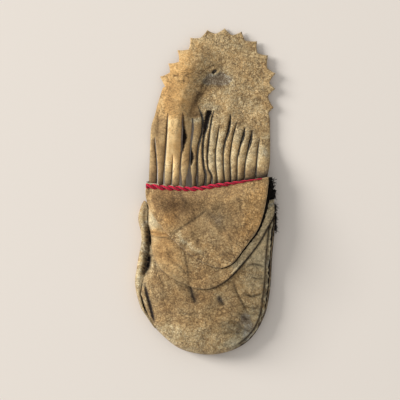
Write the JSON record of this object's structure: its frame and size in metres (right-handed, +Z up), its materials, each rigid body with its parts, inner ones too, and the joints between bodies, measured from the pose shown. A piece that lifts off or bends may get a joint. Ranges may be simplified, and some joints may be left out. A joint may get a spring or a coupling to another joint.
{
  "type": "moccasin-style hide pouch",
  "caption": "Round-ended pouch of soft tanned hide with overlapping turned-down flaps, a red yarn along the fold, and a tab cut into strips under a saw-edged crown.",
  "frame": {"origin": "on the surface the object lies on, under the middle of its bounding box", "axes": "+Y from the toe of the body to the crown of the tab, +X to the right of someone who looks down on the flaps with the tab away from them, +Z up out of the surface"},
  "size_m": [0.1009, 0.23, 0.0256],
  "materials": {
    "hide": "smoked tan, matt, worn",
    "dark_hide": "darker smoked tan, matt",
    "tab_hide": "smoked tan, matt, a little lighter",
    "red_wool": "twisted wool yarn",
    "dark_wool": "fuzzy black wool, frayed end",
    "sinew": "twisted sinew"
  },
  "bodies": {
    "pouch": {"back_panel": "hide", "front_panel": "hide", "side_welt": "dark_hide", "mouth_lining": "dark_wool", "right_seam_thread": "sinew", "left_seam_thread": "sinew", "red_yarn_ply_a": "red_wool", "red_yarn_ply_b": "red_wool"},
    "outer_flap": {"outer_flap": "dark_hide", "flap_lining": "dark_wool"},
    "cuff": {"under_flap": "hide"},
    "tab": {"fringe_tab": "tab_hide"}
  },
  "joints": [
    {"name": "outer_flap_lift", "type": "hinge", "parent": "pouch", "child": "outer_flap", "pos_m": [0, 0.0031, 0.01145], "axis": [-0.997, -0.0774, 0], "range_deg": [0, 90]},
    {"name": "cuff_lift", "type": "hinge", "parent": "pouch", "child": "cuff", "pos_m": [0, -0.009, 0.01695], "axis": [-1, 0, 0], "range_deg": [0, 45]},
    {"name": "tab_fold", "type": "hinge", "parent": "pouch", "child": "tab", "pos_m": [0, 0.0085, 0.00815], "axis": [0.997, 0.0774, 0], "range_deg": [0, 60]}
  ],
  "couplings": [
    {"joint": "cuff_lift", "follows": "outer_flap_lift", "ratio": 0.5}
  ]
}
